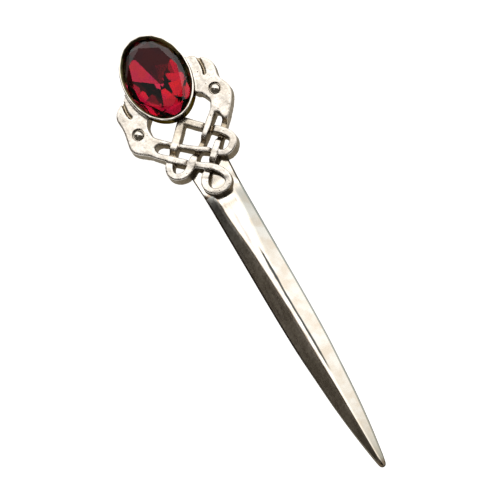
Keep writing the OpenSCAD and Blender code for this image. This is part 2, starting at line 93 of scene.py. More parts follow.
back = Vector((math.sin(VIEW_TURN) * math.cos(VIEW_ELEVATION),
               -math.cos(VIEW_TURN) * math.cos(VIEW_ELEVATION), math.sin(VIEW_ELEVATION)))
turned = back.to_track_quat("Z", "Y").to_matrix() @ Matrix.Rotation(VIEW_ROLL, 3, "Z")
right, up = turned.col[0], turned.col[1]
stone_top = Vector((0, stone_y, back_z + rim_h)) * MM
aim = (stone_top + right * (PHOTO_SIZE / 2 - STONE_PIXEL[0]) / PIXELS_PER_MM * MM
       - up * (PHOTO_SIZE / 2 - STONE_PIXEL[1]) / PIXELS_PER_MM * MM)
distance = PHOTO_SIZE / PIXELS_PER_MM * MM * LENS_MM / camera_data.sensor_width
camera.matrix_world = Matrix.Translation(aim + back * distance) @ turned.to_4x4()
camera_data.clip_end = 10
print("right", [round(c, 4) for c in right], "up", [round(c, 4) for c in up], "distance", round(distance, 3))

# %% [markdown]
# Light and floor. The real pin seems to have lain beside one very large soft light, behind its head end
# and to its right, in a dark room. Metal shows that room as it is: faces that lean to the light are near
# white, and faces that lean away are near black. The eyes are small mirrors, and the edge of the light
# crosses their middle, so level faces see that very edge and turn mottled where they are uneven. The
# light here is half of the sky, stronger high up, with a small lamp beside its edge, over a white card.

# %% Colours, nodes and materials
def linear(code):
    """An sRGB hex colour such as d9d2c6 as the linear colour that shaders take."""
    levels = [int(code[i:i + 2], 16) / 255 for i in (0, 2, 4)]
    return (*[v / 12.92 if v <= 0.04045 else ((v + 0.055) / 1.055) ** 2.4 for v in levels], 1)


def add(tree, kind, inputs=None, **settings):
    """Add one node with its settings; an input takes a value or the socket that feeds it."""
    node = tree.nodes.new(kind)
    for name, value in settings.items():
        setattr(node, name, value)
    for key, value in (inputs or {}).items():
        if isinstance(value, bpy.types.NodeSocket):
            tree.links.new(value, node.inputs[key])
        else:
            node.inputs[key].default_value = value
    return node


def calc(tree, operation, *values, **settings):
    """One calculation with sockets and numbers."""
    return add(tree, "ShaderNodeMath", dict(enumerate(values)), operation=operation, **settings).outputs[0]


def ramp(tree, value, start, end, low=0.0, high=1.0, curve="LINEAR"):
    """What runs from low to high while the given value runs from start to end."""
    ends = {"Value": value, "From Min": start, "From Max": end, "To Min": low, "To Max": high}
    return add(tree, "ShaderNodeMapRange", ends, interpolation_type=curve).outputs[0]


def along(tree, vector, way):
    """How far a vector points along a way."""
    return add(tree, "ShaderNodeVectorMath", {0: vector, 1: way}, operation="DOT_PRODUCT").outputs["Value"]


def new_material(name):
    """A material with an empty node tree."""
    material = bpy.data.materials.new(name)
    material.use_nodes = True
    material.node_tree.nodes.clear()
    return material, material.node_tree


def surface(tree, inputs):
    """Give a material's tree its one shader and its output."""
    shader = add(tree, "ShaderNodeBsdfPrincipled", inputs)
    add(tree, "ShaderNodeOutputMaterial", {"Surface": shader.outputs[0]})


print("white as the shaders take it:", linear("ffffff"))

# %% Build the light
LIGHT_SIDE = (0.62, 0.78, 0.0)
LIGHT_EDGE = (0.09, 0.27)
LOW_LIGHT, HIGH_LIGHT = 1.2, 1.85
BRIGHTER_FROM, BRIGHTEST_FROM = 0.78, 0.92
LAMP_WAY = (-0.25, -0.06, 0.966)
LAMP_ANGLE, LAMP_SOFT, LAMP_LIGHT = math.radians(5), 0.3, 2.0

scene.view_settings.view_transform = "Standard"
world = bpy.data.worlds.new("studio")
scene.world = world
world.use_nodes = True
sky = world.node_tree
sky.nodes.clear()
way = add(sky, "ShaderNodeTexCoord").outputs["Generated"]
height = add(sky, "ShaderNodeSeparateXYZ", {0: way}).outputs["Z"]
lit = ramp(sky, along(sky, way, LIGHT_SIDE), *LIGHT_EDGE, curve="SMOOTHSTEP")
strength = ramp(sky, height, BRIGHTER_FROM, BRIGHTEST_FROM, LOW_LIGHT, HIGH_LIGHT, curve="SMOOTHSTEP")
lamp = ramp(sky, along(sky, way, LAMP_WAY), math.cos(LAMP_ANGLE * (1 + LAMP_SOFT)),
            math.cos(LAMP_ANGLE * (1 - LAMP_SOFT)), high=LAMP_LIGHT)
glow = calc(sky, "ADD", calc(sky, "MULTIPLY", lit, strength), lamp)
soft_light = add(sky, "ShaderNodeBackground", {"Color": linear("fffdfa"), "Strength": glow})
dark_room = add(sky, "ShaderNodeBackground", {"Color": linear("4d4841"), "Strength": 1.0})
room = add(sky, "ShaderNodeAddShader", {0: soft_light.outputs[0], 1: dark_room.outputs[0]})
backdrop = add(sky, "ShaderNodeBackground", {"Color": linear("ffffff"), "Strength": 1.0})
seen = add(sky, "ShaderNodeLightPath").outputs["Is Camera Ray"]
shown = add(sky, "ShaderNodeMixShader", {0: seen, 1: room.outputs[0], 2: backdrop.outputs[0]})
add(sky, "ShaderNodeOutputWorld", {"Surface": shown.outputs[0]})
print("light side", LIGHT_SIDE, "nodes", len(sky.nodes))

# %% Build the floor
FLOOR_REACH = 3.0
corners = [(x * FLOOR_REACH, y * FLOOR_REACH, 0) for x, y in ((-1, -1), (1, -1), (1, 1), (-1, 1))]
floor_mesh = bpy.data.meshes.new("floor")
floor_mesh.from_pydata(corners, [], [(0, 1, 2, 3)])
floor = bpy.data.objects.new("floor", floor_mesh)
scene.collection.objects.link(floor)
card, card_tree = new_material("white_card")
surface(card_tree, {"Base Color": linear("b9b9ba"), "Roughness": 0.9, "Specular IOR Level": 0.1,
                    "Emission Color": linear("ffffff"), "Emission Strength": 0.93})
floor_mesh.materials.append(card)
print("floor reach", FLOOR_REACH, "m")

# %% [markdown]
# The knot is four strands. Each row of a table is one place along a strand: x as a share of the lobes'
# half width, y as a share of the knot's length below its apex, the level from 0 (passing under) to 1
# (passing over), and the width as a share of a strand's. The heads are outlines in shares too, x of half
# the width over the heads and y of a head's length below the stone's centre.

# %% Tables of the knot and the heads
KNOT_W, KNOT_L = 12.1, 13.3
STRAND_W, STRAND_HIGH, STRAND_LOW, STRAND_ROUND = 1.14, 2.6, 1.45, 0.17
SMOOTHING_LOSS, OVER_REACH = 0.05, 2
HEAD_W, HEAD_L, HEAD_T, HEAD_ROUND = 18.1, 11.1, 2.35, 0.22
DRAFT = 0.02
LOBE_X = (KNOT_W - STRAND_W) / 2

# Columns of the four strands: x, y, level, width
# From the right head across the knot, round the left lobe and up to the apex
INNER_RIGHT = [
    (0.927, 0.092, 0.78, 0.70), (0.805, 0.139, 0.78, 0.70), (0.684, 0.181, 0.78, 0.70),
    (0.575, 0.225, 0.85, 0.72), (0.469, 0.269, 0.95, 0.70), (0.389, 0.300, 0.95, 0.68),
    (0.312, 0.326, 0.85, 0.68), (0.265, 0.341, 0.45, 0.68), (0.234, 0.351, 0.00, 0.70),
    (0.133, 0.382, 0.00, 0.70), (0.024, 0.416, 0.00, 0.70), (-0.077, 0.447, 0.00, 0.70),
    (-0.122, 0.461, 0.10, 0.70), (-0.162, 0.474, 0.60, 0.75), (-0.208, 0.489, 0.92, 0.83),
    (-0.268, 0.508, 1.00, 0.95), (-0.330, 0.530, 1.00, 1.04), (-0.394, 0.555, 1.00, 1.07),
    (-0.465, 0.579, 1.00, 1.05), (-0.547, 0.599, 1.00, 1.01), (-0.646, 0.611, 1.00, 0.96),
    (-0.765, 0.611, 1.00, 0.92), (-0.880, 0.593, 0.95, 0.88), (-0.967, 0.559, 0.95, 0.88),
    (-1.007, 0.515, 0.95, 0.92), (-0.995, 0.470, 0.95, 0.95), (-0.953, 0.432, 0.95, 0.95),
    (-0.918, 0.411, 0.90, 0.92), (-0.885, 0.393, 0.75, 0.90), (-0.855, 0.376, 0.05, 0.90),
    (-0.816, 0.356, 0.00, 0.92),
    (-0.728, 0.317, 0.00, 0.96), (-0.659, 0.286, 0.05, 0.96), (-0.622, 0.271, 0.50, 0.96),
    (-0.582, 0.253, 0.62, 0.96), (-0.515, 0.226, 0.60, 0.98), (-0.442, 0.198, 0.50, 1.00),
    (-0.314, 0.144, 0.45, 1.02), (-0.179, 0.083, 0.45, 1.02), (-0.058, 0.029, 0.45, 0.98),
    (0.033, -0.011, 0.45, 0.96),
]
# From the left head across the knot, round the right lobe and up to the apex
INNER_LEFT = [
    (-0.934, 0.061, 0.78, 0.70), (-0.812, 0.111, 0.78, 0.58), (-0.706, 0.151, 0.70, 0.53),
    (-0.633, 0.180, 0.45, 0.54), (-0.600, 0.193, 0.05, 0.56), (-0.524, 0.223, 0.00, 0.58),
    (-0.454, 0.252, 0.05, 0.58), (-0.418, 0.267, 0.40, 0.58), (-0.378, 0.283, 0.68, 0.58),
    (-0.274, 0.323, 0.75, 0.58), (-0.164, 0.365, 0.85, 0.60), (-0.047, 0.405, 0.95, 0.63),
    (0.066, 0.441, 0.95, 0.67), (0.173, 0.474, 0.95, 0.68), (0.224, 0.491, 0.88, 0.68),
    (0.258, 0.503, 0.70, 0.68), (0.290, 0.515, 0.05, 0.68), (0.330, 0.529, 0.00, 0.70),
    (0.398, 0.559, 0.05, 0.75),
    (0.432, 0.576, 0.50, 0.79), (0.473, 0.595, 0.85, 0.83), (0.538, 0.617, 0.95, 0.86),
    (0.637, 0.631, 1.00, 0.88), (0.752, 0.625, 1.00, 0.92), (0.869, 0.598, 1.00, 0.95),
    (0.960, 0.556, 1.00, 0.95), (0.996, 0.511, 1.00, 0.96), (0.973, 0.465, 1.00, 0.98),
    (0.911, 0.420, 1.00, 0.98), (0.816, 0.369, 0.95, 0.98), (0.714, 0.322, 0.85, 0.96),
    (0.662, 0.299, 0.45, 0.96), (0.631, 0.286, 0.05, 0.92), (0.546, 0.248, 0.00, 0.92),
    (0.467, 0.214, 0.05, 0.92), (0.434, 0.201, 0.35, 0.92), (0.391, 0.182, 0.45, 0.92),
    (0.288, 0.137, 0.45, 0.93), (0.190, 0.089, 0.45, 0.95), (0.093, 0.043, 0.45, 0.96),
    (0.015, 0.003, 0.45, 0.96), (-0.064, -0.035, 0.45, 0.96),
]
# From the left head down to the centre loop, and the same from the right head
OUTER_LEFT = [
    (-1.235, 0.155, 0.78, 0.79), (-1.131, 0.215, 0.80, 0.77), (-1.020, 0.271, 0.85, 0.75),
    (-0.911, 0.320, 0.95, 0.81), (-0.807, 0.365, 1.00, 0.88), (-0.703, 0.408, 1.00, 0.88),
    (-0.599, 0.449, 0.98, 0.88), (-0.535, 0.474, 0.92, 0.86), (-0.490, 0.491, 0.75, 0.84),
    (-0.455, 0.505, 0.05, 0.83), (-0.400, 0.526, 0.00, 0.83), (-0.318, 0.557, 0.05, 0.83),
    (-0.281, 0.571, 0.55, 0.83),
    (-0.235, 0.587, 0.92, 0.83), (-0.108, 0.631, 1.00, 0.83), (-0.004, 0.663, 1.00, 0.86),
    (0.108, 0.702, 1.00, 0.88), (0.204, 0.751, 1.00, 0.89), (0.277, 0.805, 1.00, 0.92),
    (0.316, 0.858, 0.98, 0.92), (0.318, 0.905, 0.95, 0.89), (0.283, 0.946, 0.95, 0.88),
    (0.212, 0.977, 0.95, 0.83), (0.102, 0.997, 0.95, 0.79), (-0.035, 0.998, 0.95, 0.75),
    (-0.150, 0.982, 0.95, 0.72),
]
OUTER_RIGHT = [
    (1.228, 0.189, 0.78, 0.83), (1.131, 0.234, 0.78, 0.79), (1.082, 0.256, 0.60, 0.77),
    (1.049, 0.271, 0.05, 0.75), (0.954, 0.311, 0.00, 0.75), (0.845, 0.358, 0.00, 0.75),
    (0.739, 0.402, 0.00, 0.75), (0.666, 0.432, 0.05, 0.75), (0.630, 0.448, 0.50, 0.75),
    (0.589, 0.465, 0.85, 0.75), (0.536, 0.487, 0.95, 0.77), (0.469, 0.516, 1.00, 0.82),
    (0.391, 0.547, 1.00, 0.88), (0.312, 0.578, 1.00, 0.89), (0.250, 0.601, 1.00, 0.88),
    (0.210, 0.615, 0.92, 0.86), (0.178, 0.625, 0.80, 0.84), (0.140, 0.637, 0.05, 0.83),
    (0.078, 0.656, 0.00, 0.83), (-0.031, 0.689, 0.00, 0.86), (-0.080, 0.704, 0.05, 0.88),
    (-0.108, 0.713, 0.60, 0.90), (-0.162, 0.735, 0.75, 0.95), (-0.228, 0.762, 0.75, 0.98),
    (-0.290, 0.798, 0.75, 0.96), (-0.328, 0.840, 0.80, 0.94), (-0.328, 0.888, 0.85, 0.88),
    (-0.279, 0.935, 0.92, 0.77),
    (-0.186, 0.973, 0.95, 0.73), (-0.077, 0.995, 0.95, 0.72),
]
# Columns of the heads: x, y. From the snout along the brow to the neck, round the slot and up inside
RIGHT_HEAD = [
    (0.628, -0.072), (0.688, -0.065), (0.766, -0.014), (0.825, 0.023), (0.881, 0.063),
    (0.924, 0.106), (0.947, 0.155), (0.954, 0.212), (0.943, 0.275), (0.926, 0.333),
    (0.919, 0.380), (0.929, 0.425), (0.949, 0.468), (0.976, 0.519), (0.996, 0.569),
    (1.001, 0.620), (0.990, 0.668), (0.965, 0.719), (0.928, 0.770), (0.880, 0.828),
    (0.825, 0.883), (0.773, 0.928), (0.724, 0.971), (0.686, 0.989), (0.651, 0.982),
    (0.624, 0.955), (0.617, 0.921), (0.614, 0.886), (0.603, 0.856), (0.580, 0.836),
    (0.549, 0.833), (0.520, 0.849), (0.492, 0.872), (0.459, 0.877), (0.436, 0.856),
    (0.449, 0.820), (0.481, 0.789), (0.514, 0.757), (0.556, 0.701), (0.579, 0.659),
    (0.580, 0.623), (0.565, 0.584), (0.543, 0.542), (0.525, 0.510), (0.498, 0.482),
    (0.445, 0.446), (0.396, 0.351), (0.407, 0.198), (0.467, 0.054), (0.545, -0.045),
]
LEFT_HEAD = [
    (0.593, -0.068), (0.648, -0.025), (0.713, 0.012), (0.766, 0.037), (0.813, 0.059),
    (0.860, 0.085), (0.897, 0.114), (0.927, 0.151), (0.946, 0.193), (0.950, 0.236),
    (0.946, 0.286), (0.943, 0.339), (0.946, 0.395), (0.955, 0.450), (0.967, 0.504),
    (0.981, 0.556), (0.994, 0.607), (1.002, 0.654), (0.998, 0.699), (0.977, 0.742),
    (0.936, 0.786), (0.883, 0.825), (0.823, 0.867), (0.760, 0.912), (0.697, 0.966),
    (0.646, 1.018), (0.607, 1.041), (0.562, 1.025), (0.545, 0.989), (0.580, 0.955),
    (0.610, 0.918), (0.630, 0.877), (0.631, 0.845), (0.596, 0.826), (0.546, 0.824),
    (0.496, 0.836), (0.459, 0.865), (0.425, 0.876), (0.399, 0.854), (0.417, 0.816),
    (0.469, 0.766), (0.523, 0.712), (0.549, 0.676), (0.558, 0.644), (0.559, 0.596),
    (0.554, 0.541), (0.538, 0.497), (0.507, 0.458), (0.450, 0.414), (0.394, 0.324),
    (0.400, 0.180), (0.455, 0.045), (0.522, -0.036),
]
RIGHT_MOUTH = [(0.776, 0.000), (0.773, 0.122), (0.759, 0.207), (0.733, 0.270)]
LEFT_MOUTH = [(0.712, -0.010), (0.735, 0.126), (0.737, 0.207), (0.718, 0.279)]
RIGHT_EYE = (0.762, 0.528)
LEFT_EYE = (0.754, 0.543)
print("rows:", len(INNER_RIGHT), len(INNER_LEFT), len(OUTER_LEFT), len(OUTER_RIGHT))

# %% [markdown]
# A cast part like this could be sculpted, cut from plates or lofted. Lofting keeps it measured: every
# strand, head and rim is a stack of closed rings. Blender's smallest voxels are a tenth of a millimetre
# in metres, so the making is done in millimetres and each finished mesh is scaled once.

# %% Curves, rings and lofts
def smooth_curve(points, steps, closed=False):
    """Points on the smooth curve through the given ones, with so many steps between two of them."""
    p = np.array(points, float)
    n = len(p)
    spans = n if closed else n - 1
    made = []
    for i in range(spans):
        if closed:
            a, b, c, d = p[i - 1], p[i], p[(i + 1) % n], p[(i + 2) % n]
        else:
            a, b, c, d = p[max(i - 1, 0)], p[i], p[i + 1], p[min(i + 2, n - 1)]
        for t in np.arange(steps) / steps:
            made.append((2 * b + (c - a) * t + (2 * a - 5 * b + 4 * c - d) * t ** 2
                         + (3 * b - a - 3 * c + d) * t ** 3) / 2)
    if not closed:
        made.append(p[-1])
    return np.array(made)


def new_object(name, mesh):
    piece = bpy.data.objects.new(name, mesh)
    scene.collection.objects.link(piece)
    return piece


def loft(name, rings):
    """A closed solid through rings of equal length, lowest first and counter-clockwise from above."""
    n = len(rings[0])
    last = (len(rings) - 1) * n
    points = [tuple(p) for ring in rings for p in ring]
    faces = [tuple(range(n - 1, -1, -1)), tuple(last + i for i in range(n))]
    for j in range(len(rings) - 1):
        for i in range(n):
            a, b = j * n + i, j * n + (i + 1) % n
            faces.append((a, b, b + n, a + n))
    mesh = bpy.data.meshes.new(name)
    mesh.from_pydata(points, [], faces)
    return new_object(name, mesh)


def quarter(radius, steps):
    """Inset and drop along a rounded edge, from its side wall to its top."""
    turns = np.linspace(0, math.pi / 2, steps + 1)
    return [(radius * (1 - math.cos(t)), radius * (1 - math.sin(t))) for t in turns]


def strand(name, rows, steps=5, round_steps=5):
    """One strand of the knot; where it passes over, its top stays high for a few steps on both sides."""
    path = smooth_curve([(x * LOBE_X, -y * KNOT_L, STRAND_LOW + level * (STRAND_HIGH - STRAND_LOW),
                          width * STRAND_W) for x, y, level, width in rows], steps)
    path[:, 1] += apex_y
    path[:, 2] = [path[max(i - OVER_REACH, 0):i + OVER_REACH + 1, 2].max() for i in range(len(path))]
    rings = []
    for i, (x, y, top, width) in enumerate(path):
        step = path[min(i + 1, len(path) - 1)] - path[max(i - 1, 0)]
        left = np.array([-step[1], step[0]]) / np.hypot(step[0], step[1])
        half = width / 2 + SMOOTHING_LOSS
        foot = half + DRAFT * top
        edge = quarter(STRAND_ROUND, round_steps)
        section = [(-foot, 0), (foot, 0)] + [(half - inset, top - drop) for inset, drop in edge]
        section += [(-half + inset, top - drop) for inset, drop in reversed(edge)]
        rings.append([(x + s * left[0], y + s * left[1], z) for s, z in section])
    return loft(name, rings)


strands = [strand("inner_right", INNER_RIGHT), strand("inner_left", INNER_LEFT),
           strand("outer_left", OUTER_LEFT), strand("outer_right", OUTER_RIGHT)]
print("strands:", [len(s.data.vertices) for s in strands], "points")

# %% [markdown]
# Booleans join and cut the solids. All of them here are closed, so the fast manifold solver can be used.

# %% Boolean helper
def combine(target, other, operation):
    """Join, cut or trim a solid with another one, which is used up."""
    change = target.modifiers.new(operation, "BOOLEAN")
    change.operation = operation
    change.object = other
    change.solver = "MANIFOLD"
    bpy.context.view_layer.objects.active = target
    bpy.ops.object.modifier_apply(modifier=change.name)
    bpy.data.objects.remove(other)
    return target


def oval(half_x, half_y, z, steps=160):
    turns = np.arange(steps) * 2 * math.pi / steps
    return [(half_x * math.cos(t), half_y * math.sin(t) + stone_y, z) for t in turns]


# %% [markdown]
# A head is a flat plate with a softened edge, a mouth slit and a round eye. Where it meets the rim the
# caster left a small fillet, so a collar with a hollow curve is cut to the head's outline and added.

# %% Heads
HEAD_FILLET, MOUTH_HALF_W, MOUTH_D = 0.5, 0.25, 1.0
COLLAR_FROM, TRIM_FROM, TRIM_INSET = 0.5, 1.0, 0.05


def head_places(rows, side):
    return [(side * x * HEAD_W / 2, stone_y - y * HEAD_L) for x, y in rows]


def moved(outline, out, z):
    """The counter-clockwise outline moved outwards by a distance, at height z."""
    step = np.roll(outline, -1, axis=0) - np.roll(outline, 1, axis=0)
    normal = np.stack([step[:, 1], -step[:, 0]], 1) / np.linalg.norm(step, axis=1)[:, None]
    return [(x, y, z) for x, y in outline + out * normal]


def mouth_cutter(name, places):
    """A narrow solid along the mouth's curve, from past the snout to a pointed end."""
    path = smooth_curve(places, 6)
    path = np.vstack([path[0] + (path[0] - path[1]) * 6, path])
    left, right = [], []
    for i, place in enumerate(path):
        step = path[min(i + 1, len(path) - 1)] - path[max(i - 1, 0)]
        across = np.array([-step[1], step[0]]) / np.hypot(*step) * MOUTH_HALF_W
        left.append(place + across)
        right.append(place - across)
    ahead = path[-1] - path[-2]
    end = path[-1] + ahead / np.hypot(*ahead) * MOUTH_HALF_W
    outline = [*right, end, *left[::-1]]
    return loft(name, [[(x, y, z) for x, y in outline] for z in (HEAD_T - MOUTH_D, HEAD_T + 1)])


def head(name, rows, mouth, side):
    places = head_places(rows, side)
    if side > 0:
        places.reverse()
    outline = smooth_curve(places, 5, closed=True)
    rings = [moved(outline, DRAFT * HEAD_T, 0)]
    rings += [moved(outline, -inset, HEAD_T - drop) for inset, drop in quarter(HEAD_ROUND, 5)]
    plate = loft(name, rings)
    trim = loft(name + "_trim", [moved(outline, 0, TRIM_FROM), moved(outline, -TRIM_INSET, HEAD_T + 1)])
    rings = [oval(rim_a + HEAD_FILLET, rim_b + HEAD_FILLET, COLLAR_FROM)]
    rings += [oval(rim_a + inset, rim_b + inset, HEAD_T + HEAD_FILLET - drop)
              for drop, inset in reversed(quarter(HEAD_FILLET, 6))]
    collar = loft(name + "_collar", rings)
    combine(collar, trim, "INTERSECT")
    combine(plate, collar, "UNION")
    return combine(plate, mouth_cutter(name + "_mouth", head_places(mouth, side)), "DIFFERENCE")


heads = [head("right_head", RIGHT_HEAD, RIGHT_MOUTH, 1), head("left_head", LEFT_HEAD, LEFT_MOUTH, -1)]
print("heads:", [len(h.data.polygons) for h in heads], "faces")

# %% [markdown]
# Metal that was poured into a mould has no sharp corner and no plain flat. Fusing heads and strands as
# voxels gives one skin with small fillets in every corner, a little smoothing takes the steps off, and
# a slow noise moves the skin by a few hundredths of a millimetre, as casting and tumbling do.

# %% Fuse the cast relief
VOXEL, SMOOTHING, ROUNDS = 0.1, 0.5, 2


def join(target, others):
    bpy.ops.object.select_all(action="DESELECT")
    for piece in [target, *others]:
        piece.select_set(True)
    bpy.context.view_layer.objects.active = target
    bpy.ops.object.join()
    return target


def apply_modifier(piece, kind, **settings):
    change = piece.modifiers.new(kind, kind)
    for name, value in settings.items():
        setattr(change, name, value)
    bpy.context.view_layer.objects.active = piece
    bpy.ops.object.modifier_apply(modifier=change.name)


relief = join(heads[0], [heads[1], *strands])
apply_modifier(relief, "REMESH", mode="VOXEL", voxel_size=VOXEL, adaptivity=0)
apply_modifier(relief, "SMOOTH", factor=SMOOTHING, iterations=ROUNDS)
print("relief:", len(relief.data.polygons), "faces")

# %% Make the skin uneven
WAVES = ((0.022, 1.9), (0.007, 0.6))
FLAT_BELOW = 0.05


def make_uneven(piece, waves):
    """Move all but the flat back along its normals, by waves with a height and a length each."""
    count = len(piece.data.vertices)
    places, normals = np.zeros(count * 3), np.zeros(count * 3)
    piece.data.vertices.foreach_get("co", places)
    piece.data.vertex_normals.foreach_get("vector", normals)
    places, normals = places.reshape(-1, 3), normals.reshape(-1, 3)
    moves = [sum(high * noise.noise(Vector(p) / long) for high, long in waves) if p[2] > FLAT_BELOW else 0
             for p in places]
    piece.data.vertices.foreach_set("co", (places + normals * np.array(moves)[:, None]).ravel())
    piece.data.update()


make_uneven(relief, WAVES)
print("waves:", WAVES)

# %% [markdown]
# The rim is turned metal in effect: a smooth oval wall, upright above and drawn in below, with a
# polished top edge and an inner bevel down to the stone. It stays a clean loft so that its long
# highlights don't waver.

# %% Rim and seat
RIM_TOP, RIM_SIDE_H, RIM_BEVEL, RIM_ROUND, CUP_DRAW = 0.26, 1.85, 0.15, 0.1, 1.2
GIRDLE_BOTTOM, GIRDLE_TOP, CROWN_H, PAVILION_D, TABLE_SHARE = 2.75, 3.0, 0.96, 2.5, 0.76
LIP_OVER, LEDGE_W, FLOOR_T, WINDOW_SHARE = 0.3, 0.75, 0.4, 0.5
LIP_CHAMFER, TOP_CHAMFER = (0.06, 0.08), (0.04, 0.06)
LEDGE_STEEPER, LIP_STEEPER = 1.1, 1.4

rim_flare = DRAFT * RIM_SIDE_H
side_z = rim_h - RIM_SIDE_H
outside = [(-CUP_DRAW, 0), (rim_flare - RIM_BEVEL, side_z - RIM_BEVEL), (rim_flare, side_z)]
outside += [(-inset, rim_h - drop) for inset, drop in quarter(RIM_ROUND, 4)]
rim = loft("rim", [oval(rim_a + out, rim_b + out, z) for out, z in outside])

ledge_drop = LEDGE_STEEPER * PAVILION_D * LEDGE_W / stone_a
lip_rise = LIP_STEEPER * CROWN_H * (LIP_OVER + FIT_GAP) / (stone_a * (1 - TABLE_SHARE))
lip_z = (rim_h + GIRDLE_TOP) / 2
bevel_in = RIM_WALL + FIT_GAP - RIM_TOP
inside = [(-LEDGE_W, GIRDLE_BOTTOM / 2), (-LEDGE_W, GIRDLE_BOTTOM - ledge_drop),
          (FIT_GAP, GIRDLE_BOTTOM - FIT_GAP), (FIT_GAP, GIRDLE_TOP + FIT_GAP),
          (-LIP_OVER, GIRDLE_TOP + lip_rise), (-LIP_OVER, lip_z),
          (-LIP_OVER + LIP_CHAMFER[0], lip_z + LIP_CHAMFER[1]),
          (bevel_in - TOP_CHAMFER[0], rim_h - TOP_CHAMFER[1]),
          (bevel_in + TOP_CHAMFER[0], rim_h), (bevel_in + TOP_CHAMFER[0], rim_h + 1)]
window = [oval(stone_a * WINDOW_SHARE, stone_b * WINDOW_SHARE, z) for z in (-1, FLOOR_T)]
seat = loft("seat", window + [oval(stone_a + out, stone_b + out, z) for out, z in inside])
print("rim half sizes", round(rim_a, 2), round(rim_b, 2), "lip rise", round(lip_rise, 3))

# %% [markdown]
# The blade is a long low roof on a thin upright edge: two bevels with a narrow flat between them, which is
# widest near the knot and fades towards the tip. Inside the centre loop the blade is a level
# plate instead, and the roof starts under the loop. The sections are shares again, of the blade's length,
# half width, crest and edge heights and of the half width for the flat, then how level the section is.

# %% Blade
BLADE_W, CREST_T, EDGE_T = 6.4, 1.55, 0.6
BLADE_START, TIP_CUT, COLUMNS = 0.63, 0.15, 57
# Columns: place along the blade, half width, crest, edge, flat, how level
BLADE_SECTIONS = [
    (0.000, 1.005, 0.90, 1.00, 0.50, 1.0), (0.030, 0.980, 0.90, 1.00, 0.50, 1.0),
    (0.066, 0.950, 0.92, 1.00, 0.50, 1.0), (0.104, 0.939, 0.95, 1.00, 0.51, 0.0),
    (0.140, 0.934, 0.97, 1.00, 0.51, 0.0), (0.180, 0.929, 0.98, 1.00, 0.47, 0.0),
    (0.240, 0.923, 1.00, 1.00, 0.38, 0.0), (0.300, 0.917, 1.00, 1.00, 0.30, 0.0),
    (0.360, 0.911, 1.00, 1.00, 0.25, 0.0), (0.420, 0.905, 1.00, 1.00, 0.20, 0.0),
    (0.510, 0.884, 1.00, 1.00, 0.15, 0.0), (0.600, 0.838, 0.98, 1.00, 0.13, 0.0),
    (0.690, 0.746, 0.94, 1.00, 0.12, 0.0), (0.780, 0.640, 0.88, 1.00, 0.09, 0.0),
    (0.870, 0.484, 0.80, 0.95, 0.07, 0.0), (0.950, 0.300, 0.70, 0.85, 0.10, 0.0),
    (0.978, 0.222, 0.64, 0.80, 0.22, 0.0), (0.990, 0.178, 0.58, 0.75, 0.30, 0.0),
    (0.996, 0.132, 0.52, 0.68, 0.30, 0.0), (0.999, 0.080, 0.44, 0.56, 0.30, 0.0),
    (1.000, 0.030, 0.38, 0.45, 0.30, 0.0),
]
PLATE_T, CREST_SOFT, EDGE_SOFT, CREST_LEAN = 0.92, 0.3, 0.2, -0.02
blade_top_y = apex_y - BLADE_START * KNOT_L
blade_l = blade_top_y - casting_low[1] - TIP_CUT


def blade_ring(place, half_share, crest_share, edge_share, flat_share, level_share):
    half = half_share * BLADE_W / 2
    edge = edge_share * EDGE_T
    crest = crest_share * CREST_T
    flat = flat_share * half
    slope = (crest - edge) / (half - flat)
    turn = min(CREST_SOFT, half / 6)
    soft = min(EDGE_SOFT, half / 4)
    profile = [(-half, 0.0), (-half, edge - soft)]
    for x in np.linspace(-half + soft, half - soft, COLUMNS):
        past = abs(x) - flat
        if abs(past) < turn:
            past = (past + turn) ** 2 / (4 * turn)
        z = crest - slope * max(past, 0) + CREST_LEAN * x
        profile.append((x, z + (PLATE_T - z) * level_share))
    profile += [(half, edge - soft), (half, 0.0)]
    y = blade_top_y - place * blade_l
    return [(x, y, z) for x, z in profile]


blade = loft("blade", [blade_ring(*row) for row in smooth_curve(BLADE_SECTIONS, 10)])
print("blade length", round(blade_l, 2), "faces", len(blade.data.polygons))

# %% [markdown]
# The finish. The real pin is a cast alloy with a bright silver-white plating, tumbled and left a little
# soft. One metal shows three finishes. The knot and the heads are tumbled: level faces are pale and
# mottled, edges catch the light, and upright walls, creases, the low crossings and the walls inside the
# knot are painted grey and brown as shade. The blade was polished along its length, and the rim round and
# round. Colours are sRGB hex values, and every pattern is scaled in millimetres by measuring its place in
# them.

# %% Helpers for the finishes
def place_in_mm(tree):
    """The place on the piece, in millimetres."""
    place = add(tree, "ShaderNodeTexCoord").outputs["Object"]
    return add(tree, "ShaderNodeVectorMath", {0: place, "Scale": 1 / MM}, operation="SCALE").outputs[0]


def parts_of(tree, vector):
    """The x, y and z of a vector."""
    return add(tree, "ShaderNodeSeparateXYZ", {0: vector}).outputs


def cloud(tree, place, scale, detail):
    return add(tree, "ShaderNodeTexNoise", {"Vector": place, "Scale": scale, "Detail": detail}).outputs[0]


def blend(tree, share, first, second):
    """The first colour turning into the second; each one is a hex code or a socket."""
    first, second = (linear(c) if isinstance(c, str) else c for c in (first, second))
    return add(tree, "ShaderNodeMix", {0: share, 6: first, 7: second}, data_type="RGBA").outputs[2]


def between(tree, share, first, second):
    """The same for two numbers."""
    return add(tree, "ShaderNodeMix", {0: share, 2: first, 3: second}).outputs[0]


def bumps(tree, height, strength, size_mm):
    inputs = {"Height": height, "Strength": strength, "Distance": size_mm * MM}
    return add(tree, "ShaderNodeBump", inputs).outputs[0]


def leaning(tree):
    """The x, y and z of the way that the skin faces."""
    return parts_of(tree, add(tree, "ShaderNodeNewGeometry").outputs["Normal"])


